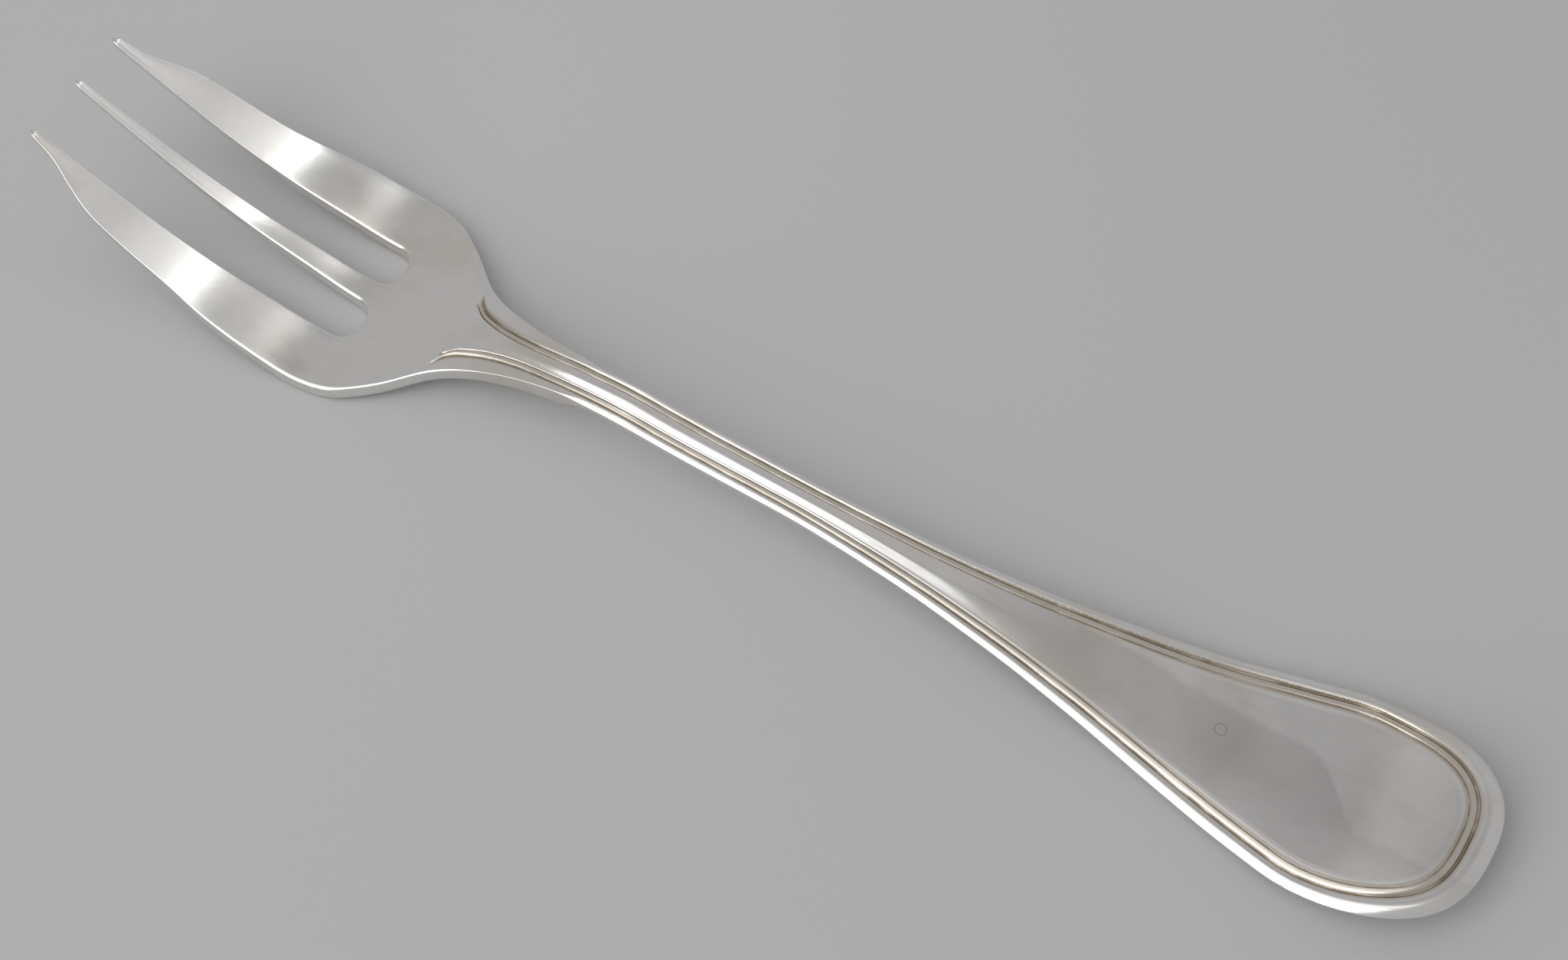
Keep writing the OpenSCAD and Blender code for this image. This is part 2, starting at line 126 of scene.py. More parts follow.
def fairedCurve(points, spread, slopes=(0, None)):
    # monotone curve through the points, faired by a bell curve of that spread in mm
    px, py = np.array(points, float).T
    h = np.diff(px)
    d = np.diff(py) / h
    both = d[:-1] + d[1:]
    between = 2 * d[:-1] * d[1:] / np.where(both == 0, 1, both)
    m = np.concatenate([[d[0]], np.where(d[:-1] * d[1:] > 0, between, 0), [d[-1]]])
    for end, slope in zip((0, -1), slopes):
        if slope is not None:
            m[end] = slope
    x = np.clip(alongFork, px[0], px[-1])
    i = np.clip(np.searchsorted(px, x, side="right") - 1, 0, len(h) - 1)
    t = (x - px[i]) / h[i]
    y = ((2 * t ** 3 - 3 * t ** 2 + 1) * py[i] + (t ** 3 - 2 * t ** 2 + t) * h[i] * m[i]
         + (3 * t ** 2 - 2 * t ** 3) * py[i + 1] + (t ** 3 - t ** 2) * h[i] * m[i + 1])
    y = y + np.minimum(alongFork - px[0], 0) * m[0] + np.maximum(alongFork - px[-1], 0) * m[-1]
    reach = int(4 * spread / fork["curveStep"])    # four spreads out, the bell is flat
    bell = np.exp(-0.5 * (np.arange(-reach, reach + 1) * fork["curveStep"] / spread) ** 2)
    padded = np.concatenate([y[0] + (y[1] - y[0]) * np.arange(-reach, 0), y,
                             y[-1] + (y[-1] - y[-2]) * np.arange(1, reach + 1)])
    faired = np.convolve(padded, bell / bell.sum(), "valid")
    return lambda x: np.interp(x, alongFork, faired)


half = {"handle": fork["handleWidth"] / 2, "stem": fork["stemWidth"] / 2, "head": fork["headWidth"] / 2}
halfWidth = fairedCurve(
    placed(fork["handleFlare"], 0, fork["handleLen"], half["stem"], half["handle"])
    + placed(fork["stemFlare"], stemStart, fork["stemLen"], half["stem"], half["handle"])
    + [(neckStart, half["stem"])]
    + placed(fork["neckFlare"], neckStart, fork["neckLen"], half["stem"], half["head"])
    + placed(fork["palmFlare"], palmStart, fork["palmLen"], half["stem"], half["head"])
    + placed(fork["outerEdge"], tineStart, fork["tineLen"], 0, half["head"]), fork["widthSpread"])
underside = fairedCurve(
    placed(fork["endUnder"], 0, fork["handleLen"], 0, fork["endRise"])
    + placed(fork["handleUnder"], 0, fork["handleLen"], 0, fork["archRise"])
    + placed(fork["stemUnder"], stemStart, fork["stemLen"], 0, fork["archRise"])
    + placed(fork["neckUnder"], neckStart, fork["neckLen"], 0, fork["archRise"])
    + placed(fork["palmUnder"], palmStart, fork["palmLen"], 0, fork["archRise"])
    + placed(fork["tineUnder"], tineStart, fork["tineLen"], 0, fork["tipRise"]), fork["riseSpread"], (None, None))
thickness = fairedCurve(
    [(0, fork["handleThick"]), (stemStart, fork["handleThick"]), (mix(stemStart, neckStart, 0.5), fork["stemThick"]),
     (neckStart, fork["stemThick"]), (palmStart, fork["palmThick"]), (tineStart, fork["palmThick"]),
     (forkLen, fork["tipThick"])], fork["riseSpread"])
edgeSlope = np.clip(np.gradient(halfWidth(alongFork), fork["curveStep"]), -1, 1)
print("drawn curves ready")


# the double-thread border, in mm: a bead with a soft outer shoulder, a narrow groove, a thread that slopes outwards, a
# hairline groove (the seam), a shallow hollow (the cove), then the plain field or the stem's crown; the crown and the
# neck's edge are a little finer than in the solids, for the width of their highlights
border = {
    "endBead": 2.2, "handleBead": 1.25, "stemBead": 0.67, "neckBead": 1.75,
    "endShoulder": 0.75, "handleShoulder": 0.6, "stemShoulder": 0.36,
    "handleGroove": 0.18, "stemGroove": 0.14, "neckGroove": 0.24, "grooveMiddle": 0.3,
    "handleDeep": 0.26, "stemDeep": 0.08, "neckDeep": 0.2,
    "handleThread": 0.7, "stemThread": 0.5, "neckThread": 0.5,
    "seam": 0.1, "seamDeep": 0.14, "cove": 0.85, "stemCove": 0.1,
    "fieldDrop": 0.04, "fieldHollow": 0.1, "fieldPower": 2.6,
    "crown": 0.24, "crownPower": 1.6, "crownFlare": 0.7, "crownEase": 0.25,
    "neckRadius": 0.05, "cornerRadius": 0.35, "cornerRows": 4, "bellyRise": 0.02,
    # shares of the neck's length between which each of these comes in or dies out
    "fade": (0.97, 1.1), "crownFade": (0.1, 1.1), "wall": (-0.12, 0.12), "sharp": (0.6, 1.1),
    "neckBeadShares": [(0, 0), (0.2, 0.14), (0.45, 0.5), (0.8, 0.95), (0.9, 1), (0.96, 0.85), (1, 0.6), (1.04, 0.2),
                       (1.07, 0.05)],
    "neckBeadSpread": 0.12,
    # section points as (share of the width, share of the height, tarnish where there can be any)
    "backShares": [(1.5, 0.08), (0.6, 0.3), (0.12, 0.72)],
    "beadShares": [(0.1, 0.62, 0), (0.24, 0.33, 0), (0.42, 0.1, 0), (0.62, 0, 0), (0.84, 0.03, 0.06),
                   (0.96, 0.12, 0.25)],
    "threadShares": [(0.04, 1, 1), (0.24, 0.5, 0.4), (0.48, 0.2, 0.12), (0.72, 0.05, 0.12), (0.86, 0, 0.16),
                     (0.96, 0.15, 0.7)],
    "coveShares": [(0, 0.1, 0.8), (0.3, 0.45, 0.12), (0.6, 0.78, 0), (1, 1, 0)],
    "lowCorner": [(1, 0), (0.29, 0.29), (0, 1)],
    "topCorner": [(0.08, 0.62), (0.29, 0.29), (0.62, 0.08), (1, 0), (1.2, 0), (1.45, 0)],
    "spanSteps": 4, "crownSteps": 16, "crownPacking": 1.15, "spareRows": 4, "leastGap": 1e-6,
}


def flareOf(x):
    return np.where(x > neckStart, 0, np.clip((halfWidth(x) - half["stem"]) / (half["handle"] - half["stem"]), 0, 1))


def fullness(flare):
    return flare * (2 - flare)


def neckEase(x, part):
    start, end = border[part]
    return ease((x - neckStart - start * fork["neckLen"]) / ((end - start) * fork["neckLen"]))


def roundedThrough(points, steps):
    # smooth curve through each row of points (rows, points, values), with even steps in every span
    gap = np.maximum(np.linalg.norm(np.diff(points[..., :2], axis=1), axis=2), border["leastGap"])[..., None] ** 0.5
    slope = np.diff(points, axis=1) / gap
    inner = (slope[:, 1:] * gap[:, :-1] + slope[:, :-1] * gap[:, 1:]) / (gap[:, :-1] + gap[:, 1:])
    tangent = np.concatenate([slope[:, :1], inner, slope[:, -1:]], axis=1)
    tangent[:, 0, 1] = 0
    out = []
    for t in np.arange(steps) / steps:
        out.append((2 * t ** 3 - 3 * t ** 2 + 1) * points[:, :-1] + (t ** 3 - 2 * t ** 2 + t) * gap * tangent[:, :-1]
                   + (3 * t ** 2 - 2 * t ** 3) * points[:, 1:] + (t ** 3 - t ** 2) * gap * tangent[:, 1:])
    out = np.stack(out, axis=2).reshape(len(points), -1, points.shape[2])
    return np.concatenate([out, points[:, -1:]], axis=1)


neckBead = fairedCurve([(-1, 0)] + placed(border["neckBeadShares"], neckStart, fork["neckLen"], 0, 1),
                       border["neckBeadSpread"])


def borderSize(x, flare, part):
    # one size of the border: its value on the stem, on the handle, and as it grows along the neck to the shoulders
    onStem, onHandle, onNeck = (border[region + part] for region in ("stem", "handle", "neck"))
    return mix(onStem, onHandle, fullness(flare)) + neckBead(x) * (onNeck - onStem)


def ribProfile(x, reach, bead, shoulder, flare):
    # one half of each section, as rows of (inset from the edge, height over the underside, tarnish)
    t = thickness(x)
    k = 1 - neckEase(x, "fade")    # the border's strength, 0 on the palm
    wall = neckEase(x, "wall")    # 0 where the bead rounds the edge, 1 where the edge stands upright
    lowRound = border["cornerRadius"]
    topRound = mix(border["neckRadius"], border["cornerRadius"], neckEase(x, "sharp"))
    groove, thread = borderSize(x, flare, "Groove"), borderSize(x, flare, "Thread")
    deep = k * borderSize(x, flare, "Deep")
    seam = deep * border["seamDeep"] / border["handleDeep"]
    threadStart = bead + groove
    seamStart = threadStart + thread
    coveStart = seamStart + border["seam"]
    cove = border["cove"] * mix(border["stemCove"], 1, fullness(flare))
    edge, field = t - shoulder, t - k * flare * border["fieldDrop"]
    zero = np.zeros_like(t)
    rows = [(reach, zero, 0), (mix(bead, reach, 0.5), border["bellyRise"] * t * (1 - wall), 0)]
    for (inset, height), (cornerInset, cornerHeight) in zip(border["backShares"], border["lowCorner"]):
        rows.append((mix(inset * bead, cornerInset * lowRound, wall),
                     mix(height * edge, cornerHeight * lowRound, wall), 0))
    rows.append((zero, mix(edge, t - topRound, wall), 0))
    for i, (inset, drop, dark) in enumerate(border["beadShares"]):
        # the rows beside the groove stay until the border dies out
        cornerInset, cornerDrop = border["topCorner"][i]
        plain = wall * (1 if i < border["cornerRows"] else 1 - k)
        rows.append((mix(inset * bead, cornerInset * topRound, plain),
                     t - mix(drop * shoulder, cornerDrop * topRound, plain), dark))
    face = [(bead + border["grooveMiddle"] * groove, t - deep, 1)]
    for place, drop, dark in border["threadShares"]:
        face.append((threadStart + place * thread, t - drop * deep, dark))
    face.append((seamStart + border["seam"] / 2, t - seam, 1))
    for place, climb, dark in border["coveShares"]:
        face.append((coveStart + place * cove, mix(t - seam, field, climb), dark))
    for i, (inset, height, dark) in enumerate(face):    # past the neck the rows drift to even places across the palm
        even = mix(border["topCorner"][-1][0] * topRound, reach, (i + 1) / (len(face) + border["spareRows"]))
        rows.append((mix(even, inset, k), height, dark))
    stain = ease(3 * k - 2)    # the tarnish is gone before the grooves are
    rows = np.stack([np.stack([inset, height, dark * stain], axis=1) for inset, height, dark in rows], axis=1)
    edgeRows = roundedThrough(rows, border["spanSteps"])
    s = (np.arange(1, border["crownSteps"] + 1) / border["crownSteps"])[None, :] ** border["crownPacking"]
    crown = (1 - ease(flare / border["crownFlare"])) * (1 - neckEase(x, "crownFade")) * border["crown"]
    rise = crown - flare * border["fieldHollow"]
    hollow = 1 - (1 - s) ** mix(border["crownPower"], border["fieldPower"], flare)[:, None]
    swell = mix(ease(s), hollow, ease(flare / border["crownEase"])[:, None])
    inset = mix(rows[:, -1, 0][:, None], reach[:, None], s)
    inner = np.stack([inset, field[:, None] + rise[:, None] * swell, 0 * inset], axis=2)
    return np.concatenate([edgeRows, inner], axis=1), rows[:, -1, 0]


def straightRibs(x, side):
    # ribs straight across the fork at each x, bead and threads kept at their true width on a flaring edge
    w, flare = halfWidth(x), flareOf(x)
    shoulder = mix(border["stemShoulder"], border["handleShoulder"], fullness(flare))
    ribs = ribProfile(x, w, borderSize(x, flare, "Bead"), shoulder, flare)[0]
    wide = np.sqrt(1 + edgeSlope[np.searchsorted(alongFork, x)] ** 2)[:, None]
    d, w = ribs[..., 0], w[:, None]
    inset = d + (wide - 1) * d * (1 - d / w)
    return np.stack([np.broadcast_to(x[:, None], d.shape), side * (w - inset), underside(x)[:, None] + ribs[..., 1],
                     ribs[..., 2]], axis=2)


def endRibs(turn, side):
    # ribs round the handle's end, square to its outline, that meet on the middle line
    c, s = np.maximum(np.cos(turn), 0), np.maximum(np.sin(turn), 0)
    power = 2 / fork["endPower"]
    edge = np.stack([endLen * (1 - c ** power), half["handle"] * s ** power], axis=1)
    normal = np.stack([c ** (2 - power) / endLen, -s ** (2 - power) / half["handle"]], axis=1)
    normal /= np.linalg.norm(normal, axis=1)[:, None]
    middle = np.stack([endLen * (1 - fork["endMiddle"] * c ** 2), 0 * c], axis=1)
    reach = np.linalg.norm(middle - edge, axis=1)
    bead = mix(border["handleBead"], border["endBead"], c)
    shoulder = mix(border["handleShoulder"], border["endShoulder"], c)
    ribs, width = ribProfile(0 * turn, reach, bead, shoulder, np.ones_like(turn))
    d = ribs[..., 0]
    at = edge[:, None] + normal[:, None] * np.minimum(d, width[:, None])[..., None]
    beyond = np.clip((d - width[:, None]) / (reach - width)[:, None], 0, 1)[..., None]
    at = mix(at, middle[:, None], beyond)
    return np.stack([at[..., 0], side * at[..., 1], underside(at[..., 0]) + ribs[..., 1], ribs[..., 2]], axis=2)


def inFrame(points):
    # millimetres from the handle's end to metres in the shared frame, never past the solids' own box
    moved = (points - np.array([forkLen / 2, 0, 0])) * mm
    return np.clip(moved, cadCorners[0], cadCorners[1])


def addValues(mesh, name, values):
    mesh.attributes.new(name, "FLOAT", "POINT").data.foreach_set("value", values.astype(np.float32))


def linked(name, data):
    thing = bpy.data.objects.new(name, data)
    bpy.context.scene.collection.objects.link(thing)
    return thing


def shellPiece(name, grid, ids, quads, kept, caps):
    # closed piece from a net of points; normals come from the whole net, ghost rows past its ends too
    points = np.zeros((ids.max() + 1, 3))
    points[ids.ravel()] = grid[..., :3].reshape(-1, 3)
    tarnish = np.zeros(ids.max() + 1)
    tarnish[ids.ravel()] = grid[..., 3].ravel()
    across = np.cross(points[quads[:, 2]] - points[quads[:, 0]], points[quads[:, 3]] - points[quads[:, 1]])
    volume = np.einsum("ij,ij->i", across, points[quads].mean(axis=1) - points.mean(axis=0))[kept].sum()
    if volume < 0:
        quads, across = quads[:, ::-1], -across
    normals = np.zeros_like(points)
    unit = across / np.maximum(np.linalg.norm(across, axis=1), tiny)[:, None]
    for corner in range(4):
        np.add.at(normals, quads[:, corner], unit)
    normals /= np.maximum(np.linalg.norm(normals, axis=1), tiny)[:, None]
    faces = [list(q) for q in quads[kept]]
    loopNormals = [normals[v] for q in faces for v in q]
    for cap, outward in caps:
        ring = list(cap)
        a = points[ring]
        area = np.cross(a, np.roll(a, -1, axis=0)).sum(axis=0)
        if np.dot(area, outward) < 0:
            ring = ring[::-1]
        faces.append(ring)
        loopNormals += [np.array(outward, float)] * len(ring)
    used = sorted({int(v) for face in faces for v in face})
    number = {v: i for i, v in enumerate(used)}
    mesh = bpy.data.meshes.new(name)
    mesh.from_pydata(inFrame(points[used]).tolist(), [], [[number[int(v)] for v in face] for face in faces])
    mesh.polygons.foreach_set("use_smooth", [True] * len(faces))
    addValues(mesh, "tarnish", np.clip(tarnish[used], 0, 1))
    mesh.update()
    mesh.normals_split_custom_set([tuple(n) for n in loopNormals])
    return linked(name, mesh)


def quadNet(ids, after):
    # quads between each row of a net and the next one, and which of them aren't ghosts
    quads = np.stack([ids[:-1], ids[1:], after[1:], after[:-1]], axis=2)
    row = np.arange(len(quads))
    kept = np.repeat((row > 0) & (row < len(quads) - 1), quads.shape[1])
    return quads.reshape(-1, 4), kept


def barPiece(name, start, end, step):
    # tube of whole sections between two places along the fork
    count = round((end - start) / step)
    x = start + np.arange(-1, count + 2) * (end - start) / count
    left, right = straightRibs(x, 1), straightRibs(x, -1)
    grid = np.concatenate([left, right[:, -2:0:-1]], axis=1)
    ids = np.arange(grid[..., 0].size).reshape(grid.shape[:2])
    quads, kept = quadNet(ids, np.roll(ids, -1, axis=1))
    return shellPiece(name, grid, ids, quads, kept, [(ids[1], (-1, 0, 0)), (ids[-2], (1, 0, 0))])


def handlePiece(name, step, turnStep):
    # one strip of ribs down one side, round the end and back up the other side
    count = round((fork["handleLen"] - endLen) / step)
    x = endLen + np.arange(1, count + 2) * (fork["handleLen"] - endLen) / count
    turns = np.radians(np.arange(turnStep, 90 + turnStep / 2, turnStep))
    left = np.concatenate([straightRibs(x[::-1], 1), endRibs(turns[::-1], 1)])
    right = np.concatenate([endRibs(turns, -1), straightRibs(x, -1)])
    grid = np.concatenate([left, endRibs(np.array([0.0]), 1), right])
    rows, size = grid.shape[:2]
    ids = np.arange(rows * size).reshape(rows, size)
    for column in (0, size - 1):    # both sides share the middle line, under and on top
        ids[rows // 2 + 1:, column] = ids[:rows // 2, column][::-1]
    quads, kept = quadNet(ids[:, :-1], ids[:, 1:])
    ring = np.concatenate([ids[1], ids[-2][-2:0:-1]])
    return shellPiece(name, grid, ids, quads, kept, [(ring, (1, 0, 0))])


# mm between ribs, closest where the outline turns; degrees between them round the end
ribStep = {"handle": 0.4, "end": 1.5, "stem": 0.4, "neck": 0.14, "palm": 0.15}
pieces = {"handle": handlePiece("handle_body", ribStep["handle"], ribStep["end"])}
for node, start, end in (("stem", stemStart, neckStart), ("neck", neckStart, palmStart),
                         ("palm", palmStart, tineStart)):
    pieces[node] = barPiece(node + "_body", start, end, ribStep[node])
print("handle, stem, neck and palm made")


# the three tines: one tree of nodes draws a rounded bar along a guide
tine = {
    "slotWidth": 4.3, "middleRoot": 2.8, "middleTip": 0.7, "outerTip": 0.7, "tipSpread": 6.4,
    "lean": 0.5, "leanEnd": 0.8,    # the middle tine stands a little to the right of the middle line
    "corner": 0.35, "rootSoft": 1.3, "tipKeen": 0.4, "keenEnd": 0.6,    # the edges grow keener towards the tips
    "hollow": 0.06, "dome": 0.1, "shapedAfter": 7.0, "tipRound": 1.0, "cornerLimit": 0.66,
    "spreadShare": 0.7, "mergeReach": 0.002, "creaseAngle": 60,
    "rootSteps": 10, "bodySteps": 110, "tipSteps": 12, "ringSteps": 64,
}
innerRoot = tine["middleRoot"] / 2 + tine["slotWidth"]
slotMid = tine["middleRoot"] / 2 + tine["slotWidth"] / 2
rootLen = tine["slotWidth"] / 2


def tineStations():
    i = np.arange(tine["rootSteps"]) / tine["rootSteps"]
    j = np.arange(tine["bodySteps"]) / tine["bodySteps"]
    n = np.arange(tine["tipSteps"] + 1) / tine["tipSteps"]
    return np.concatenate([tineStart + rootLen * (1 - np.cos(i * math.pi / 2)),
                           mix(tineStart + rootLen, forkLen - tine["tipRound"], j),
                           forkLen - tine["tipRound"] * (1 - np.sin(n * math.pi / 2))])


def rootRound(x):
    s = np.clip((x - tineStart) / rootLen, 0, 1)
    return np.sqrt(np.maximum(0, 1 - (1 - s) ** 2))


def tipNarrow(x):
    s = np.clip((x - forkLen + tine["tipRound"]) / tine["tipRound"], 0, 1)
    return np.sqrt(np.maximum(0, 1 - s ** 2))


outerEdge = fairedCurve(
    placed(fork["palmFlare"], palmStart, fork["palmLen"], half["stem"], half["head"])
    + placed(fork["outerEdge"], tineStart, fork["tineLen"], 0, half["head"])
    + placed(fork["ogee"], tineStart, fork["tineLen"], tine["tipSpread"] + tine["outerTip"] / 2,
             fork["outerEdge"][-1][1] * half["head"]), fork["widthSpread"] * tine["spreadShare"])


def tineGuide(name, x, low, high, lowRound, highRound):
    # a line of points along the tine that carries its edges and corners, in metres
    x = np.concatenate([x[:1], x])    # the first ring is a point that closes the root
    first = np.arange(len(x)) == 0
    root = (low[0] + high[0]) / 2
    values = {"lowEdge": np.concatenate([[root], low]), "highEdge": np.concatenate([[root], high]),
              "lowRound": np.concatenate([[0], lowRound]), "highRound": np.concatenate([[0], highRound]),
              "underside": underside(x), "thickness": thickness(x)}
    narrow = tipNarrow(x)
    middle = (values["lowEdge"] + values["highEdge"]) / 2
    for edge in ("lowEdge", "highEdge"):
        values[edge] = mix(middle, values[edge], narrow)
    thin = mix(0.0, values["thickness"], np.where(first, 0, narrow))
    values["underside"] = values["underside"] + (values["thickness"] - thin) / 2
    values["thickness"] = thin
    mesh = bpy.data.meshes.new(name)
    mesh.from_pydata([((v - forkLen / 2) * mm, 0, 0) for v in x], [(i, i + 1) for i in range(len(x) - 1)], [])
    for key, value in values.items():
        addValues(mesh, key, value * mm)
    addValues(mesh, "shaped", ease((x - tineStart) / tine["shapedAfter"]) * np.where(first, 0, narrow))
    return linked(name, mesh)


def roundedBarTree():
    tree = bpy.data.node_groups.new("rounded bar along a guide", "GeometryNodeTree")
    for name, kind in (("Guide", "Geometry"), ("Ring Steps", "Int"), ("Face Hollow", "Float"), ("Back Dome", "Float"),
                       ("Corner Limit", "Float"), ("Merge Reach", "Float"), ("Finish", "Material")):
        tree.interface.new_socket(name, in_out="INPUT", socket_type="NodeSocket" + kind)
    tree.interface.new_socket("Bar", in_out="OUTPUT", socket_type="NodeSocketGeometry")

    def given(name):
        return put(tree, "NodeGroupInput", output=name)

    # a net of one row for each point of the guide and one column for each step round the bar
    rows = put(tree, "GeometryNodeAttributeDomainSize", {"Geometry": given("Guide")}, "Point Count", component="MESH")
    across = put(tree, "ADD", (given("Ring Steps"), 1.0))
    net = put(tree, "GeometryNodeMeshGrid", {"Vertices X": rows, "Vertices Y": across}, "Mesh")
    index = put(tree, "GeometryNodeInputIndex")
    row = put(tree, "FLOOR", (put(tree, "DIVIDE", (put(tree, "ADD", (index, 0.5)), across)),))
    step = put(tree, "SUBTRACT", (index, put(tree, "MULTIPLY", (row, across))))

    def onGuide(value):
        return put(tree, "GeometryNodeSampleIndex", {"Geometry": given("Guide"), "Value": value, "Index": row}, "Value",
                   data_type="FLOAT", domain="POINT")

    def along(name):
        return onGuide(put(tree, "GeometryNodeInputNamedAttribute", {"Name": name}, "Attribute", data_type="FLOAT"))

    def blend(a, b, share):
        return put(tree, "MULTIPLY_ADD", (put(tree, "SUBTRACT", (b, a)), share, a))

    x = onGuide(put(tree, "ShaderNodeSeparateXYZ", {0: put(tree, "GeometryNodeInputPosition")}, "X"))
    low, high, under, thick = along("lowEdge"), along("highEdge"), along("underside"), along("thickness")

    # round the bar: four sides, each a straight run and then a quarter turn
    quarter = put(tree, "MULTIPLY", (put(tree, "DIVIDE", (step, given("Ring Steps"))), 4.0))
    side = put(tree, "FLOOR", (put(tree, "ADD", (quarter, 1e-4)),))
    within = put(tree, "MULTIPLY", (put(tree, "SUBTRACT", (quarter, side)), 2.0))
    straight = put(tree, "MINIMUM", (put(tree, "MAXIMUM", (within, 0.0)), 1.0))
    bend = put(tree, "MAXIMUM", (put(tree, "SUBTRACT", (within, 1.0)), 0.0))
    turn = put(tree, "MULTIPLY", (put(tree, "ADD", (side, bend)), math.pi / 2))
    turnY, turnZ = put(tree, "COSINE", (turn,)), put(tree, "SINE", (turn,))
    halfY = put(tree, "MULTIPLY", (put(tree, "SUBTRACT", (high, low)), 0.5))
    halfZ = put(tree, "MULTIPLY", (thick, 0.5))
    limit = put(tree, "MULTIPLY", (put(tree, "MINIMUM", (halfY, halfZ)), given("Corner Limit")))

    def corner(offset):
        # a point on the round of one corner; offset picks this corner or the one before it
        angle = put(tree, "MULTIPLY", (put(tree, "ADD", (side, offset)), math.pi / 2))
        signY = put(tree, "SIGN", (put(tree, "COSINE", (angle,)),))
        signZ = put(tree, "SIGN", (put(tree, "SINE", (angle,)),))
        pick = put(tree, "MULTIPLY_ADD", (signY, 0.5, 0.5))
        radius = put(tree, "MINIMUM", (blend(along("lowRound"), along("highRound"), pick), limit))
        centreY = put(tree, "MULTIPLY", (signY, put(tree, "SUBTRACT", (halfY, radius))))
        centreZ = put(tree, "MULTIPLY", (signZ, put(tree, "SUBTRACT", (halfZ, radius))))
        return put(tree, "MULTIPLY_ADD", (radius, turnY, centreY)), put(tree, "MULTIPLY_ADD", (radius, turnZ, centreZ))

    beforeY, beforeZ = corner(-0.5)
    hereY, hereZ = corner(0.5)
    y, z = blend(beforeY, hereY, straight), blend(beforeZ, hereZ, straight)

    # the face is hollowed and the back domed
    shareY, shareZ = put(tree, "DIVIDE", (y, halfY)), put(tree, "DIVIDE", (z, halfZ))
    edgeShare = put(tree, "MULTIPLY", (shareY, shareY))
    topShare = put(tree, "MULTIPLY_ADD", (shareZ, 0.5, 0.5))
    inside = put(tree, "MULTIPLY", (put(tree, "SUBTRACT", (1.0, edgeShare)), topShare))
    outside = put(tree, "MULTIPLY", (edgeShare, put(tree, "SUBTRACT", (1.0, topShare))))
    hollow = put(tree, "MULTIPLY", (inside, given("Face Hollow")))
    dome = put(tree, "MULTIPLY", (outside, given("Back Dome")))
    lift = put(tree, "MULTIPLY", (put(tree, "SUBTRACT", (dome, hollow)), along("shaped")))
    placeZ = put(tree, "ADD", (put(tree, "ADD", (put(tree, "ADD", (under, halfZ)), z)), lift))
    placeY = put(tree, "ADD", (put(tree, "MULTIPLY", (put(tree, "ADD", (low, high)), 0.5)), y))
    position = put(tree, "ShaderNodeCombineXYZ", {"X": x, "Y": placeY, "Z": placeZ})
    bar = put(tree, "GeometryNodeSetPosition", {"Geometry": net, "Position": position})
    bar = put(tree, "GeometryNodeMergeByDistance", {"Geometry": bar, "Distance": given("Merge Reach")})
    bar = put(tree, "GeometryNodeSetShadeSmooth", {"Geometry": bar})
    bar = put(tree, "GeometryNodeRealizeInstances", {"Geometry": bar})
    bar = put(tree, "GeometryNodeSetMaterial", {"Geometry": bar, "Material": given("Finish")})
    put(tree, "NodeGroupOutput", {"Bar": bar})
    return tree


def barAlong(name, guide, tree, inputs):
    modifier = guide.modifiers.new("rounded bar", "NODES")
    modifier.node_group = tree
    for item in tree.interface.items_tree:
        if item.in_out == "INPUT" and item.name in inputs:
            modifier[item.identifier] = inputs[item.name]
    evaluated = guide.evaluated_get(bpy.context.evaluated_depsgraph_get())
    mesh = bpy.data.meshes.new_from_object(evaluated)
    guide.modifiers.remove(modifier)
    bpy.data.objects.remove(guide)
    mesh.name = name
    points = np.empty(len(mesh.vertices) * 3)
    mesh.vertices.foreach_get("co", points)
    points = np.clip(points.reshape(-1, 3), cadCorners[0], cadCorners[1])
    mesh.vertices.foreach_set("co", points.ravel())
    corners = points[np.array([p.vertices[:3] for p in mesh.polygons])]
    facing = np.einsum("ij,ij->i", np.cross(corners[:, 1] - corners[:, 0], corners[:, 2] - corners[:, 0]),
                       corners.mean(axis=1) - points.mean(axis=0)).sum()
    if facing < 0:
        mesh.flip_normals()
    mesh.set_sharp_from_angle(angle=math.radians(tine["creaseAngle"]))
    mesh.update()
    return linked(name, mesh)


silver = bpy.data.materials.new("hand-polished silver plate")
at = tineStations()
share = (at - tineStart) / fork["tineLen"]
inner = mix(slotMid, mix(innerRoot, tine["tipSpread"] - tine["outerTip"] / 2, share), rootRound(at))
outer = outerEdge(at)
middleHalf = mix(slotMid, mix(tine["middleRoot"], tine["middleTip"], share) / 2, rootRound(at))
lean = tine["lean"] * (1 - (1 - np.minimum(1, share / tine["leanEnd"])) ** 2)
keen = mix(1, tine["tipKeen"], ease(share / tine["keenEnd"]))
soft, full = keen * (tine["corner"] * np.minimum(1, tine["rootSoft"] * rootRound(at))), keen * tine["corner"]
barTree = roundedBarTree()
barInputs = {"Ring Steps": tine["ringSteps"], "Face Hollow": tine["hollow"] * mm, "Back Dome": tine["dome"] * mm,
             "Corner Limit": tine["cornerLimit"], "Merge Reach": tine["mergeReach"] * mm, "Finish": silver}
for node, edges in (("left_tine", (inner, outer, soft, full)),
                    ("middle_tine", (-middleHalf - lean, middleHalf - lean, soft, soft)),
                    ("right_tine", (-outer, -inner, full, soft))):
    pieces[node] = barAlong(node + "_body", tineGuide(node + " guide", at, *edges), barTree, barInputs)
print("three tines made")


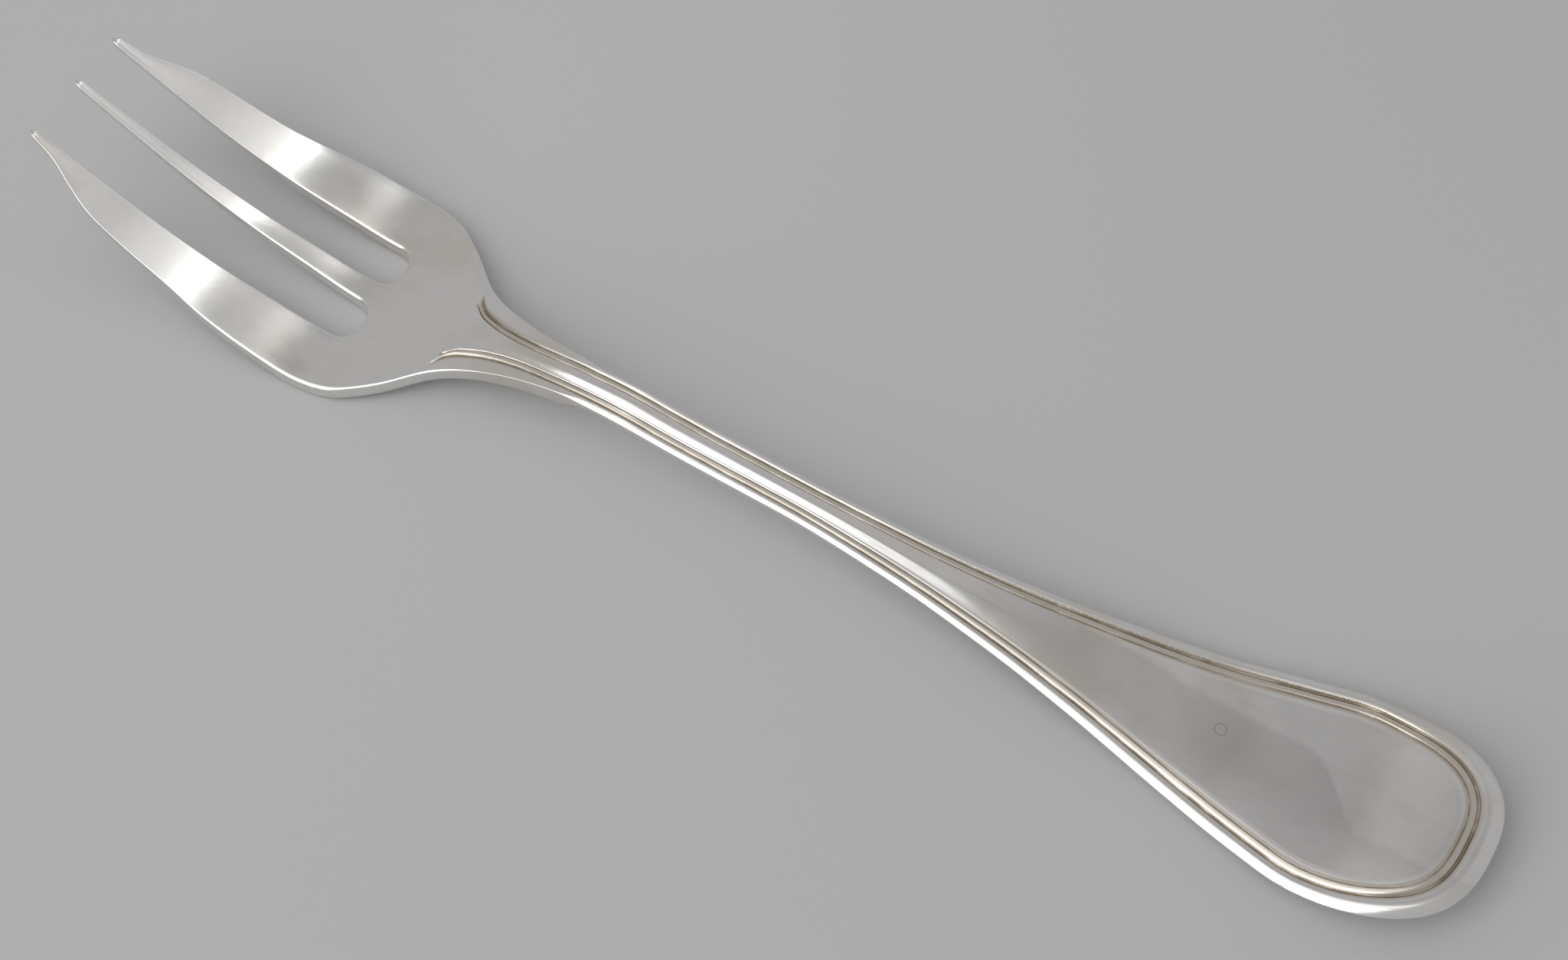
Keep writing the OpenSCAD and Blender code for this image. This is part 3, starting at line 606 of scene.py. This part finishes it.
# silver plate over nickel brass, machine buffed and then used: a warm white mirror, slightly uneven where the wheel
# leaned on it, with a haze of wipe marks, hairline scratches along the stem and yellow-brown sulphide left in the
# grooves; sizes are in mm, and a range says where a pattern of 0 to 1 begins to show and where it is full
plate = {
    # the last, dark colour tints the wipe streaks and the drop's ring, and paints a darker reflection along the
    # handle's field
    "clean": "F4F2EE", "warmed": "E6DFD2", "threadFilm": "DDD5C9", "grooveBrown": "9C9080", "darkMarksAndPaintedReflection": "5E554A",
    "roughness": 0.17, "grooveRoughness": 0.42,
    "haze": 0.1, "hazeSize": 9.0, "hazeStretch": (0.6, 1, 1), "hazeRange": (0.35, 0.75),
    "waveSize": 5.0, "waveHeight": 0.006, "rippleSize": 1.5, "rippleHeight": 0.003,    # the wheel's slow waves
    # hairlines are drawn wider than the real 0.02 mm so that they show
    "scratchLength": 9.0, "scratchWidth": 0.12, "scratchDepth": 0.0009, "scratchRange": (0.66, 0.74),
    "brushLength": 6.0, "brushWidth": 0.2, "brushTone": 0.035, "brushRange": (0.3, 0.75),    # the cloth that dried it
    # knocks across the edges, in groups this far apart, only where the surface leans sideways
    "nickSize": 0.2, "nickStretch": (1, 0.25, 0.25), "nickDepth": 0.011, "nickRange": (0.56, 0.7),
    "nickReach": 9.0, "nickGroup": (0.45, 0.6), "nickLean": (0.3, 0.6),
    "pitSize": 1.6, "pitDepth": 0.004, "pitRange": (0.78, 0.84),
    "stainSize": 14.0, "stainTone": 0.7, "stainRange": (0.45, 0.7),
    "filmRange": (0.02, 0.12), "grimeRange": (0.35, 1.0), "grimeSize": 3.0, "grimePatch": (0.2, 0.6),
    "dropCentre": (25.5, -0.45), "dropRadius": 0.55, "dropLine": 0.14, "dropTone": 0.25,    # a water drop dried here
    # painted reflection: a darker tongue along the field where the polish would reflect something dark, its far edge
    # curving across near the handle's end
    "tongueTone": 0.17, "tongueTurn": (10.5, 17.5), "tongueEdge": (2.8, -3.4), "tongueSoft": 0.9,
    "tongueFade": (1.0, 6.5), "tongueLast": (42.0, 54.0), "tongueSize": 5.0, "tongueWander": 2.0,
}
silver.use_nodes = True
shade = silver.node_tree
shade.nodes.clear()
place = put(shade, "ShaderNodeTexCoord", output="Object")
placeX, placeY = (put(shade, "ShaderNodeSeparateXYZ", {0: place}, axis) for axis in "XY")
tarnishAt = put(shade, "ShaderNodeAttribute", output="Fac", attribute_name="tarnish")


def lumps(size, detail=2.0, stretch=(1, 1, 1), rough=0.5):
    # smooth lumps of that size in mm, drawn out where the stretch is under 1
    spot = put(shade, "ShaderNodeMapping", {"Vector": place, "Scale": stretch})
    return put(shade, "ShaderNodeTexNoise", {"Vector": spot, "Scale": 1 / (size * mm), "Detail": detail,
                                             "Roughness": rough})


def tinted(amount, under, over):
    # one colour over another; a colour is a hex value or what an earlier step gave
    under, over = (linearColor(c) if isinstance(c, str) else c for c in (under, over))
    return put(shade, "ShaderNodeMix", {0: amount, 6: under, 7: over}, 2, data_type="RGBA")


def flipped(pattern):
    return put(shade, "SUBTRACT", (1.0, pattern))


scratchStretch = (plate["scratchWidth"] / plate["scratchLength"], 1, 1)
scratches = put(shade, "SMOOTHSTEP", (lumps(plate["scratchWidth"], 1.0, scratchStretch), *plate["scratchRange"]))
pits = put(shade, "SMOOTHSTEP", (lumps(plate["pitSize"], 3.0), *plate["pitRange"]))
normalY = put(shade, "ShaderNodeSeparateXYZ", {0: put(shade, "ShaderNodeNewGeometry", output="Normal")}, "Y")
leaning = put(shade, "SMOOTHSTEP", (put(shade, "ABSOLUTE", (normalY,)), *plate["nickLean"]))
groups = put(shade, "SMOOTHSTEP", (lumps(plate["nickReach"], 1.0), *plate["nickGroup"]))
knocks = put(shade, "SMOOTHSTEP", (lumps(plate["nickSize"], 2.0, plate["nickStretch"]), *plate["nickRange"]))
nicks = put(shade, "MULTIPLY", (knocks, put(shade, "MULTIPLY", (leaning, groups))))
height = 0.0
for pattern, tall in ((lumps(plate["waveSize"], 1.0), plate["waveHeight"]),
                      (lumps(plate["rippleSize"], 1.0), plate["rippleHeight"]),
                      (scratches, -plate["scratchDepth"]), (pits, -plate["pitDepth"]), (nicks, -plate["nickDepth"])):
    height = put(shade, "MULTIPLY_ADD", (pattern, tall, height))
relief = put(shade, "ShaderNodeBump", {"Height": height, "Strength": 1.0, "Distance": mm})

stains = put(shade, "SMOOTHSTEP", (lumps(plate["stainSize"], 4.0, rough=0.6), *plate["stainRange"]))
brushStretch = (plate["brushWidth"] / plate["brushLength"], 1, 1)
brushed = put(shade, "SMOOTHSTEP", (lumps(plate["brushWidth"], 2.0, brushStretch), *plate["brushRange"]))
filmed = put(shade, "SMOOTHSTEP", (tarnishAt, *plate["filmRange"]))
patches = put(shade, "SMOOTHSTEP", (lumps(plate["grimeSize"], 3.0), *plate["grimePatch"]))
grime = put(shade, "MULTIPLY", (put(shade, "SMOOTHSTEP", (tarnishAt, *plate["grimeRange"])), patches))

# the water drop's ring, a real stain, and the tongue of painted darker reflection with its wandering edge
dropX, dropY = plate["dropCentre"]
toDrop = put(shade, "ShaderNodeMapping", {"Vector": place, "Scale": (1, 1, 0),
                                          "Location": (-(dropX - forkLen / 2) * mm, -dropY * mm, 0)})
dropReach = put(shade, "ShaderNodeVectorMath", {0: toDrop}, "Value", operation="LENGTH")
offRing = put(shade, "ABSOLUTE", (put(shade, "SUBTRACT", (dropReach, plate["dropRadius"] * mm)),))
ring = flipped(put(shade, "SMOOTHSTEP", (offRing, 0.0, plate["dropLine"] * mm)))
turnFrom, turnTo, lastFrom, lastTo = ((x - forkLen / 2) * mm for x in plate["tongueTurn"] + plate["tongueLast"])
edgeFrom, edgeTo = (y * mm for y in plate["tongueEdge"])
fadeFrom, fadeTo = (y * mm for y in plate["tongueFade"])
turned = put(shade, "SMOOTHSTEP", (placeX, turnFrom, turnTo))
tongueEdge = put(shade, "MULTIPLY_ADD", (turned, edgeTo - edgeFrom, edgeFrom))
wander = put(shade, "SUBTRACT", (lumps(plate["tongueSize"]), 0.5))
tongueEdge = put(shade, "MULTIPLY_ADD", (wander, plate["tongueWander"] * mm, tongueEdge))
tongue = put(shade, "SMOOTHSTEP", (put(shade, "SUBTRACT", (placeY, tongueEdge)), 0.0, plate["tongueSoft"] * mm))
tongue = put(shade, "MULTIPLY", (tongue, flipped(put(shade, "SMOOTHSTEP", (placeY, fadeFrom, fadeTo)))))
tongue = put(shade, "MULTIPLY", (tongue, flipped(put(shade, "SMOOTHSTEP", (placeX, lastFrom, lastTo)))))
dropRingAndPaintedReflection = put(shade, "MULTIPLY_ADD", (ring, plate["dropTone"], put(shade, "MULTIPLY", (tongue, plate["tongueTone"]))))

colour = tinted(put(shade, "MULTIPLY", (stains, plate["stainTone"])), plate["clean"], plate["warmed"])
colour = tinted(put(shade, "MULTIPLY", (brushed, plate["brushTone"])), colour, plate["darkMarksAndPaintedReflection"])
colour = tinted(filmed, colour, plate["threadFilm"])
colour = tinted(grime, colour, plate["grooveBrown"])
# the drop's ring is a stain; the tongue is painted reflection, darkening the field's colour
colour = tinted(dropRingAndPaintedReflection, colour, plate["darkMarksAndPaintedReflection"])
haze = put(shade, "SMOOTHSTEP", (lumps(plate["hazeSize"], 3.0, plate["hazeStretch"]), *plate["hazeRange"]))
rough = put(shade, "MULTIPLY_ADD", (haze, plate["haze"], plate["roughness"]))
rough = put(shade, "MULTIPLY_ADD", (grime, plate["grooveRoughness"] - plate["roughness"], rough))
skin = put(shade, "ShaderNodeBsdfPrincipled", {"Base Color": colour, "Metallic": 1.0, "Roughness": rough,
                                               "Normal": relief})
put(shade, "ShaderNodeOutputMaterial", {"Surface": skin})

for node, piece in pieces.items():
    piece.data.materials.clear()
    piece.data.materials.append(silver)
    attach(piece, "root")
    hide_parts(node)
print("finishes given")


# floor, lamps and camera
floorReach, floorColor, floorRoughness = 3.0, "CCCCCC", 0.95
floorMesh = bpy.data.meshes.new("floor")
floorMesh.from_pydata([(x * floorReach, y * floorReach, 0) for x, y in ((-1, -1), (1, -1), (1, 1), (-1, 1))], [],
                      [(0, 1, 2, 3)])
floor = linked("floor", floorMesh)
cloth = bpy.data.materials.new("pale matt table cover")
cloth.use_nodes = True
cloth.node_tree.nodes.clear()
clothSkin = put(cloth.node_tree, "ShaderNodeBsdfPrincipled", {"Base Color": linearColor(floorColor),
                                                              "Roughness": floorRoughness})
put(cloth.node_tree, "ShaderNodeOutputMaterial", {"Surface": clothSkin})
floorMesh.materials.append(cloth)

# the room: even and pale, a little darker overhead where the fork's flat faces look
room = {
    "pale": "AFAFB1", "dim": "9A9A9C", "dimToward": (0.2, -0.43, 0.9), "dimStretch": (0.8, 2.5, 0.5),
    "dimRange": (0.12, 0.25),
}
world = bpy.data.worlds.new("room")
bpy.context.scene.world = world
world.use_nodes = True
worldTree = world.node_tree
worldTree.nodes.clear()
toward = put(worldTree, "ShaderNodeTexCoord", output="Generated")
stretched = put(worldTree, "ShaderNodeMapping", {"Vector": toward, "Scale": room["dimStretch"]})
dimMiddle = tuple(a * b for a, b in zip(room["dimToward"], room["dimStretch"]))
offset = put(worldTree, "ShaderNodeVectorMath", {0: stretched, 1: dimMiddle}, "Value", operation="DISTANCE")
pale = put(worldTree, "SMOOTHSTEP", (offset, *room["dimRange"]))
tone = put(worldTree, "ShaderNodeMix", {0: pale, 6: linearColor(room["dim"]), 7: linearColor(room["pale"])}, 2,
           data_type="RGBA")
sky = put(worldTree, "ShaderNodeBackground", {"Color": tone, "Strength": 1.0})
put(worldTree, "ShaderNodeOutputWorld", {"Surface": sky})


def turnedTo(sideways, upward, away, spot):
    # where an object stands whose own axes are these three
    return Matrix([(sideways[i], upward[i], away[i], spot[i]) for i in range(3)] + [(0, 0, 0, 1)])


def softLamp(name, spot, aim, size, radiance, along=(0, 1, 0), spread=180):
    # rectangular lamp that looks as bright as its radiance says, its second side along the given direction; a small
    # spread, in degrees, keeps its light to what it faces
    data = bpy.data.lights.new(name, "AREA")
    data.shape = "RECTANGLE"
    data.size, data.size_y = size
    data.energy = radiance * math.pi * size[0] * size[1]
    data.spread = math.radians(spread)
    away = (Vector(spot) - Vector(aim)).normalized()
    sideways = Vector(along).cross(away).normalized()
    lamp = linked(name, data)
    lamp.matrix_world = turnedTo(sideways, away.cross(sideways), away, spot)
    lamp.visible_camera = False


# name, place, what it faces, sides, radiance, second side, spread
lamps = [
    ("wide window", (0.30, 0.79, 0.58), (0, 0, 0), (0.66, 1.6), 1.6, (0, -0.58, 0.79)),
    ("pale blind over the window", (0.30, 0.08, 1.19), (0, 0, 0), (0.8, 0.42), 0.62, (0, -1, 0)),
    ("white card over the tines", (0.051, -0.07, 0.16), (0.051, -0.02, 0), (0.0105, 0.085), 0.3, (0, 1, 0), 60),
    ("pale card over the tips", (0.044, -0.033, 0.09), (0.05, -0.01, 0), (0.016, 0.05), 0.3, (0, 1, 0)),
]
for lamp in lamps:
    softLamp(*lamp)

# angles in radians; the focal length is in pixels of the photo
view = {
    "target": (-0.003738, -0.001849, 0.003), "azimuth": 2.1079, "elevation": 1.0545, "distance": 0.26064,
    "roll": -0.0006, "focal": 3687.0, "imageWidth": 2048.0, "sensor": 36.0, "nearest": 0.01,
}
eye = bpy.data.cameras.new("camera")
eye.sensor_width = view["sensor"]
eye.lens = view["focal"] / view["imageWidth"] * eye.sensor_width
eye.clip_start = view["nearest"]
camera = linked("camera", eye)
level = math.cos(view["elevation"])
back = Vector((math.cos(view["azimuth"]) * level, math.sin(view["azimuth"]) * level, math.sin(view["elevation"])))
right = (-back).cross(Vector((0, 0, 1))).normalized()
above = right.cross(-back)
turnedRight = math.cos(view["roll"]) * right + math.sin(view["roll"]) * above
turnedUp = -math.sin(view["roll"]) * right + math.cos(view["roll"]) * above
camera.matrix_world = turnedTo(turnedRight, turnedUp, back, Vector(view["target"]) + view["distance"] * back)
bpy.context.scene.camera = camera
bpy.context.scene.view_settings.view_transform = "Standard"
print("stage set")
